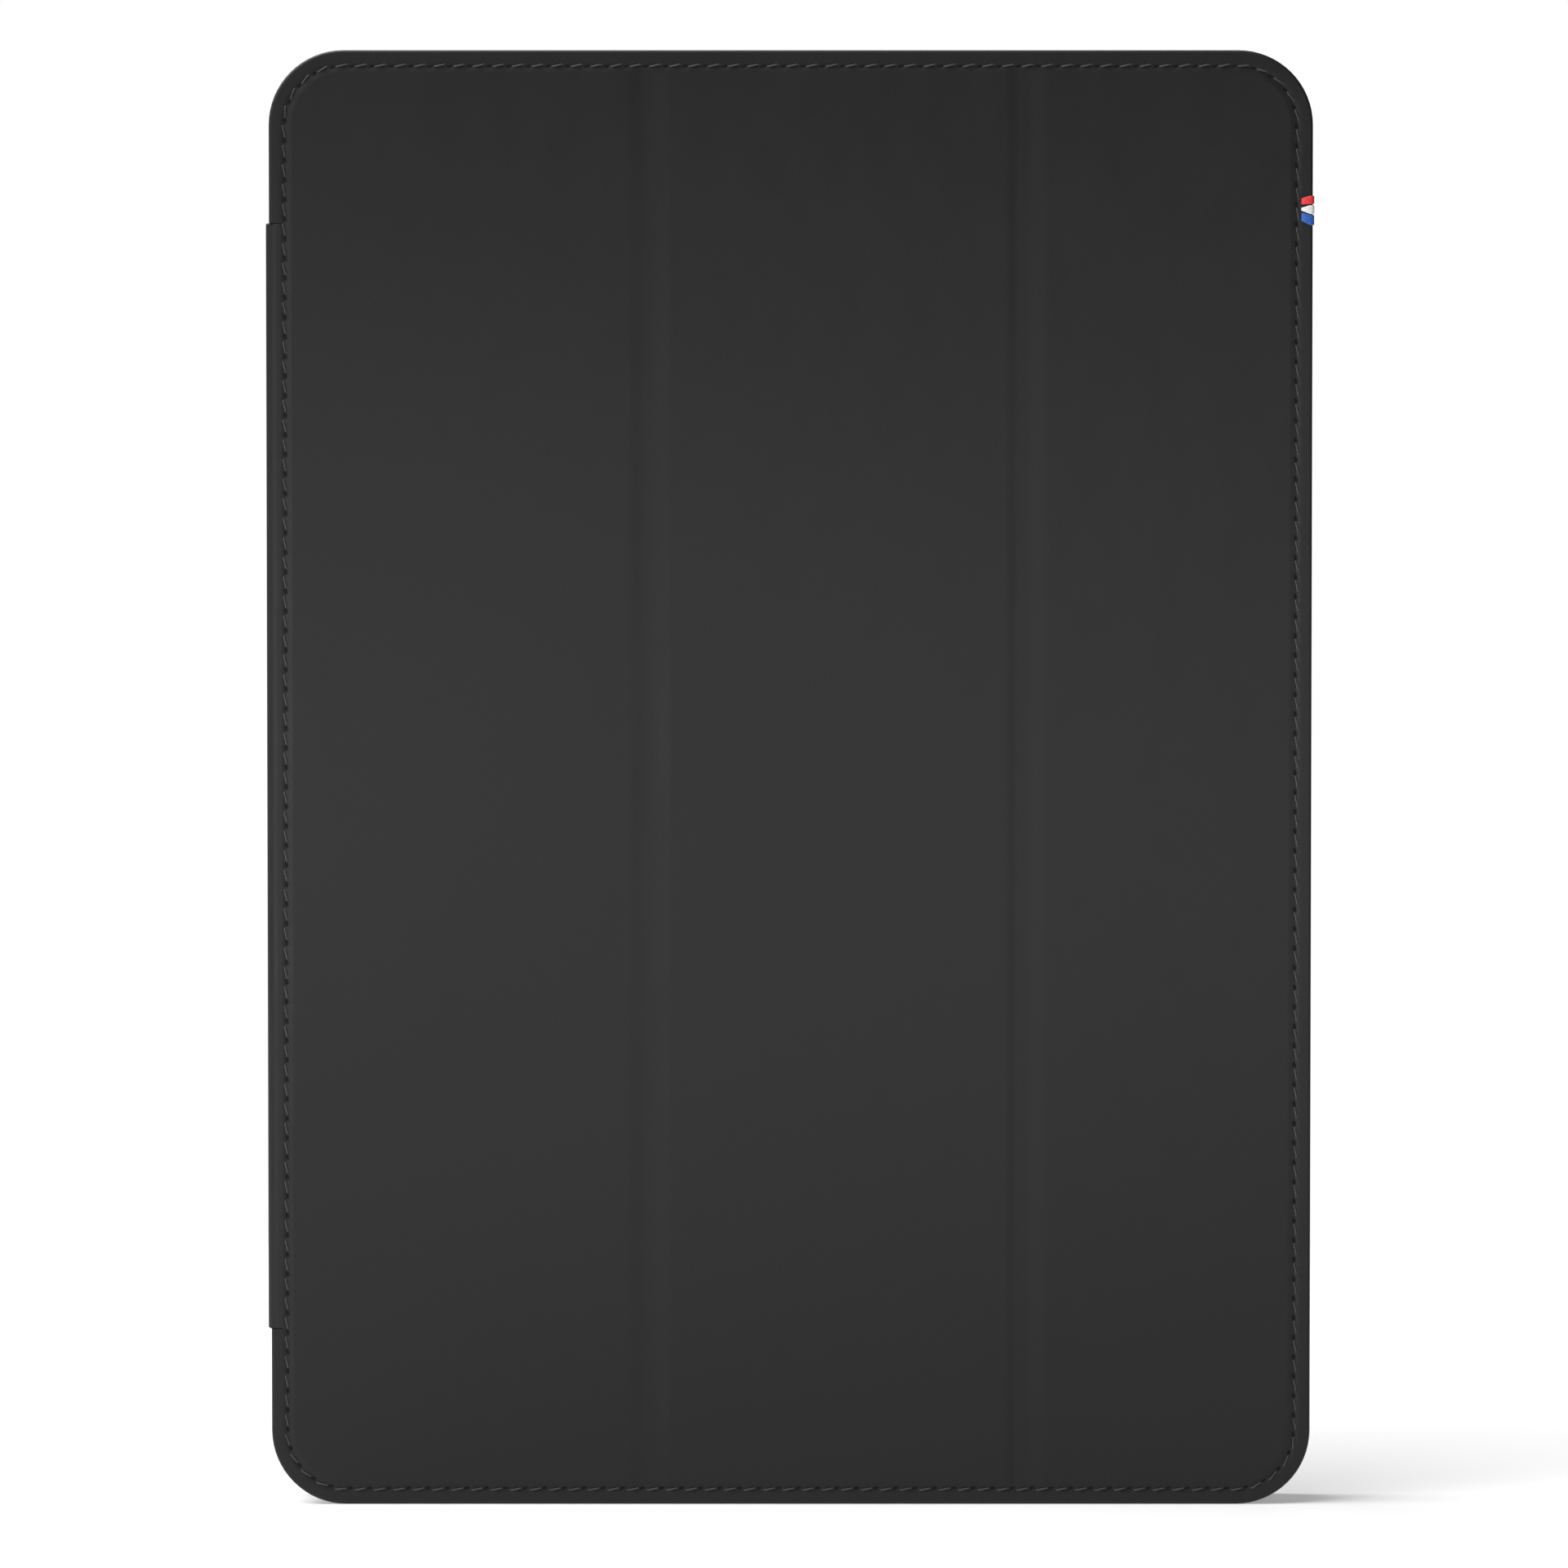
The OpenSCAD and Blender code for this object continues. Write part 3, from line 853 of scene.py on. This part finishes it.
def copy_node(node, name):
    """A merged copy of a CAD node's mesh without the lines across its flat faces."""
    piece = frame["nodes"][node].copy()
    piece.data = piece.data.copy()
    piece.name = name
    piece.parent = None
    bpy.context.collection.objects.link(piece)
    edit(piece)
    bpy.ops.mesh.select_all(action="SELECT")
    bpy.ops.mesh.remove_doubles(threshold=0.002 * MM)
    bpy.ops.mesh.dissolve_limited(angle_limit=math.radians(1))
    bpy.ops.object.mode_set(mode="OBJECT")
    return piece


def break_edges(piece, width):
    """Rounds every sharp edge of a piece."""
    select_only(piece)
    bevel = piece.modifiers.new("broken_edges", "BEVEL")
    bevel.width = width * MM
    bevel.segments = 2
    bevel.limit_method = "ANGLE"
    bevel.angle_limit = math.radians(40)
    bpy.ops.object.modifier_apply(modifier=bevel.name)


tray = copy_node("tray_shell", "tray_moulding")
break_edges(tray, 0.22)
finish_piece(tray, "tray_plastic", make_polycarbonate())
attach(tray, "shell")
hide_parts("tray_shell")

CLOTH_CORNER = 12.25
CLOTH_HOLE = 7.6             # radius of the hole for the camera
CLOTH_GAP = 0.05             # free space round the cloth
CLOTH_ROUND = 0.2            # radius of its cut edge
CLOTH_LOOPS = [0.05, 0.12, 0.22]
cloth_low, cloth_high = corners("tray_lining")


def place_cloth(x, z, far):
    """The cloth lies flat on the floor, with its cut edge rounded on the tablet's side."""
    if far:
        return (x, cloth_high.y, z)
    edge = min(x - cloth_low.x, cloth_high.x - x, z - cloth_low.z, cloth_high.z - z)
    return (x, cloth_low.y + rounding(edge, CLOTH_ROUND), z)


bed = outline_sheet(cloth_low.x + CLOTH_GAP, cloth_high.x - CLOTH_GAP, cloth_low.z + CLOTH_GAP,
                    cloth_high.z - CLOTH_GAP, CLOTH_CORNER, CLOTH_LOOPS)
bed.name = "tray_cloth"
thicken(bed, place_cloth)
drill(bed, make_cutter(cloth_low.y - 1, cloth_high.y + 1, CLOTH_HOLE))
finish_piece(bed, "lining_cloth", microfibre)
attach(bed, "shell")
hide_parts("tray_lining")

# ---- Stitching ----
# Waxed charcoal thread in a lockstitch, round the cover on both faces and round the back.
# Each stitch slants a little from outside to inside and dives into the next needle hole.
THREAD = 0.16                # the thread's radius
# Along the seam from one needle hole to the next, aside towards the middle, and height
STITCH_LINE = [(0.55, -0.12, -0.40), (0.70, -0.18, -0.16), (0.95, -0.20, 0.02), (1.30, -0.14, 0.11),
               (1.80, -0.02, 0.14), (2.25, 0.08, 0.11), (2.60, 0.14, 0.01), (2.85, 0.17, -0.18),
               (3.00, 0.17, -0.42)]
TWIST_PITCH = 0.9            # length of one turn of the thread's plies
PLIES = 3


def make_thread(name, dark, light):
    """Bonded polyester thread: twisted plies with a waxy sheen, from the piece's own UV map. Its colour is
    painted light on the ply crests and dark in the grooves, as painted highlight and shade.
    """
    material, wire, feed = new_material(name, Sheen_Weight=0.1)
    turns = wire.node("UVMap", {}, uv_map="thread")
    along = wire.node("SeparateXYZ", {"Vector": turns})
    around = wire.node("SeparateXYZ", {"Vector": turns}, output=1)
    phase = (along * (1 / TWIST_PITCH) + around) * (PLIES * 2 * math.pi)
    ply_height_and_shade = phase.maths("SINE") * 0.5 + 0.5
    fibres = wire.noise(wire.node("TexCoord", {}, output=3), 0.0003, detail=2)
    # Ply crests take the light colour and grooves the dark one: painted highlight and shade, mixed with
    # random fibre tone
    feed(Base_Color=(ply_height_and_shade * 0.6 + fibres * 0.4).tint(dark, light),
         Roughness=0.4 + fibres * 0.2,
         Normal=wire.bump(ply_height_and_shade, 0.04 * MM, 0.6))
    return material


def tube(name, line, radius, sides):
    """A round tube along a line of points in millimetres, with its own length and turn as UV map."""
    points = [Vector(point) for point in line]
    last = len(points) - 1
    bpy.ops.mesh.primitive_cylinder_add(vertices=sides, radius=radius, depth=1, location=(0, 0, 0.5))
    piece = bpy.context.object
    piece.name = name
    bpy.ops.object.transform_apply(location=True, rotation=True, scale=True)
    edit(piece)
    for step in range(1, last):
        bpy.ops.mesh.select_all(action="SELECT")
        bpy.ops.mesh.bisect(plane_co=(0, 0, step / last), plane_no=(0, 0, 1))
    bpy.ops.object.mode_set(mode="OBJECT")
    lengths = [0]
    for point, following in zip(points, points[1:]):
        lengths.append(lengths[-1] + (following - point).length)
    layer = piece.data.uv_layers.new(name="thread")
    for face in piece.data.polygons:
        middle = math.atan2(face.center.y, face.center.x)
        for index in face.loop_indices:
            place = piece.data.vertices[piece.data.loops[index].vertex_index].co
            turn = math.atan2(place.y, place.x)
            turn += 2 * math.pi * round((middle - turn) / (2 * math.pi))
            step = round(place.z * last)
            layer.data[index].uv = (lengths[step], turn / (2 * math.pi))
    for vertex in piece.data.vertices:
        step = round(vertex.co.z * last)
        ahead = points[min(step + 1, last)] - points[max(step - 1, 0)]
        turned = ahead.to_track_quat("Z", "Y")
        vertex.co = (points[step] + turned @ Vector((vertex.co.x, vertex.co.y, 0))) * MM
    return piece


def seam_point(run):
    """The point of the seam at a run from its start, and the directions along it and to the middle."""
    # Each leg's heading and length, and its start or, on a bend, the bend's centre
    legs = [(math.pi, first_run, Vector((seam_start, 0, seam_high)), None),
            (math.pi, bend_length, None, Vector((bend_left, 0, bend_high))),
            (1.5 * math.pi, flat_tall, Vector((seam_left, 0, bend_high)), None),
            (1.5 * math.pi, bend_length, None, Vector((bend_left, 0, bend_low))),
            (0, flat_wide, Vector((bend_left, 0, seam_low)), None),
            (0, bend_length, None, Vector((bend_right, 0, bend_low))),
            (0.5 * math.pi, flat_tall, Vector((seam_right, 0, bend_low)), None),
            (0.5 * math.pi, bend_length, None, Vector((bend_right, 0, bend_high))),
            (math.pi, flat_wide - first_run, Vector((bend_right, 0, seam_high)), None)]
    for heading, length, start, centre in legs:
        if run <= length:
            break
        run -= length
    turn = heading + (run / seam_bend if centre else 0)
    along = Vector((math.cos(turn), 0, math.sin(turn)))
    aside = Vector((-along.z, 0, along.x))
    if centre:
        return centre - aside * seam_bend, along, aside
    return start + along * run, along, aside


def lay_stitches(name, low_x, high_x, seam_y, up):
    """A piece with every stitch of a seam whose middle lies in a stretch of the width."""
    made = bmesh.new()
    for count in range(stitch_count):
        place, along, aside = seam_point((count + 0.5) * stitch_step)
        if not low_x < place.x < high_x:
            continue
        place.y = seam_y
        origin = (place - along * stitch_step / 2) * MM
        turned = Matrix((along, aside, (0, up, 0))).transposed().to_4x4()
        copy = stitch.data.copy()
        copy.transform(Matrix.Translation(origin) @ turned)
        if turned.determinant() < 0:
            copy.flip_normals()
        made.from_mesh(copy)
        bpy.data.meshes.remove(copy)
    data = bpy.data.meshes.new(name)
    made.to_mesh(data)
    made.free()
    piece = bpy.data.objects.new(name, data)
    bpy.context.collection.objects.link(piece)
    finish_piece(piece, "thread", thread)
    return piece


# Charcoal thread, painted darker in the ply grooves and lighter on the crests as painted shade and
# highlight
thread = make_thread("charcoal_thread", (0.010, 0.010, 0.011), (0.028, 0.028, 0.030))
stitch = tube("stitch", STITCH_LINE, THREAD, 8)
front_seam_y = face_y + HEM + GROOVE
lining_seam_y = margin_y - GROOVE
back_seam_y = back_face_y - HEM - GROOVE
for part, (low_x, high_x) in stretches.items():
    front = lay_stitches(part + "_stitches", low_x, high_x, front_seam_y, -1)
    inner = lay_stitches(part + "_inner_stitches", low_x, high_x, lining_seam_y, 1)
    move_with(front, part)
    move_with(inner, part)
    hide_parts(part + "_stitching")
back_stitches = lay_stitches("back_stitches", cover_left, cover_right, back_seam_y, 1)
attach(back_stitches, "shell")
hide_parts("back_stitching")
bpy.data.objects.remove(stitch)

# ---- Coloured edge thread ----
# Three short wraps of brighter thread bind the cover's right edge: red over white over blue.
# Each has a few turns that fan out from one needle hole and pull tight round the edge.
WRAP_THREAD = 0.21           # the thread's radius
WRAP_TURNS = 5
WRAP_BEND = 0.55             # radius of a turn where it goes round the edge
BEND_SHARES = [0.1, 0.35, 0.65, 0.9]  # where along each bend the thread's line has a point
# Heights of the first and last turn at the hole and at the edge, from the middle of the wraps,
# and the colour's dark end, painted as shade in the ply grooves, and light end, painted as highlight on
# the ply crests
FANS = {"red": ((1.25, 1.95), (1.35, 2.35), (0.55, 0.012, 0.018), (0.78, 0.03, 0.04)),
        "white": ((0.15, 0.35), (-0.35, 0.75), (0.62, 0.62, 0.62), (0.85, 0.85, 0.85)),
        "blue": ((-0.55, -1.6), (-0.9, -2.2), (0.006, 0.06, 0.30), (0.012, 0.12, 0.5))}
wrap_low_corner, wrap_high_corner = corners("edge_thread_white")
wrap_middle = (wrap_low_corner.z + wrap_high_corner.z) / 2
hole_x = wrap_low_corner.x + 0.15


def wrap_line(hole_z, edge_z):
    """One turn's line: up out of the hole, over the leather, round the edge and back on the lining."""
    front_y = face_y + HEM - WRAP_THREAD * 0.7
    back_y = margin_y + WRAP_THREAD * 0.7
    bend_x = cover_right + WRAP_THREAD * 0.3 - WRAP_BEND
    line = [(hole_x - 0.1, front_y + 0.5, hole_z), (hole_x, front_y + 0.12, hole_z)]
    for share in (0.15, 0.45, 0.75):
        line.append((hole_x + (bend_x - hole_x) * share, front_y, hole_z + (edge_z - hole_z) * share))
    for middle_y, side, shares in ((front_y + WRAP_BEND, -1, BEND_SHARES),
                                   (back_y - WRAP_BEND, 1, BEND_SHARES[::-1])):
        for share in shares:
            angle = math.pi / 2 * share
            x = bend_x + WRAP_BEND * math.sin(angle)
            line.append((x, middle_y + side * WRAP_BEND * math.cos(angle), edge_z))
    line += [(hole_x, back_y - 0.12, hole_z), (hole_x - 0.1, back_y - 0.5, hole_z)]
    return line


for colour, (hole_span, edge_span, dark, light) in FANS.items():
    strands = []
    for count in range(WRAP_TURNS):
        share = count / (WRAP_TURNS - 1)
        hole_z = wrap_middle + hole_span[0] + (hole_span[1] - hole_span[0]) * share
        edge_z = wrap_middle + edge_span[0] + (edge_span[1] - edge_span[0]) * share
        strands.append(tube(colour, wrap_line(hole_z, edge_z), WRAP_THREAD, 10))
    bpy.ops.object.select_all(action="DESELECT")
    for strand in strands:
        strand.select_set(True)
    bpy.context.view_layer.objects.active = strands[0]
    bpy.ops.object.join()
    strands[0].name = "edge_wrap_" + colour
    finish_piece(strands[0], colour + "_thread", make_thread(colour + "_thread", dark, light))
    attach(strands[0], "panel_3")
    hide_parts("edge_thread_" + colour)

# ---- Boards, steel strip and magnets ----
# Grey fibre board stiffens the panels and the spine. The back's board is black, since its rim
# shows round the tray. A steel strip and four magnets inside the cover hold the stand shut.


def make_board(name, dark, light):
    """Pressed fibre board: short matted fibres in two tones, matt."""
    material, wire, feed = new_material(name, Specular_IOR_Level=0.2)
    place = wire.node("TexCoord", {}, output=3)
    fibres = wire.noise(place, 0.0006, detail=4, roughness=0.7)
    feed(Base_Color=fibres.ease(0.3, 0.7).tint(dark, light), Roughness=0.8 + fibres * 0.15,
         Normal=wire.bump(fibres, 0.05 * MM, 0.5))
    return material


def make_metal(name, dark, light, grain):
    """Bare metal with a rolled grain along its length."""
    material, wire, feed = new_material(name, Metallic=1.0)
    place = wire.node("TexCoord", {}, output=3)
    stretched = wire.node("Mapping", {"Vector": place, "Scale": (1, 1, 0.02)})
    rolled = wire.noise(stretched, grain, detail=3)
    feed(Base_Color=rolled.tint(dark, light), Roughness=0.28 + rolled * 0.2,
         Normal=wire.bump(rolled, 0.01 * MM, 0.4))
    return material


def give(node, material):
    """Gives a CAD node one material in all its slots."""
    slots = frame["nodes"][node].material_slots
    for held in slots:
        held.material = material
    if not slots:
        frame["nodes"][node].data.materials.append(material)


fibre_board = make_board("grey_fibre_board", (0.11, 0.09, 0.07), (0.24, 0.2, 0.16))
black_board = make_board("black_fibre_board", (0.012, 0.012, 0.013), (0.028, 0.028, 0.03))
for node in ("panel_1_board", "panel_2_board", "panel_3_board", "spine_board"):
    give(node, fibre_board)
give("back_board", black_board)
give("panel_1_steel_strip", make_metal("rolled_steel", (0.42, 0.42, 0.43), (0.6, 0.6, 0.61), 0.0008))
give("panel_3_magnets", make_metal("nickel_plate", (0.55, 0.53, 0.5), (0.72, 0.7, 0.66), 0.0015))
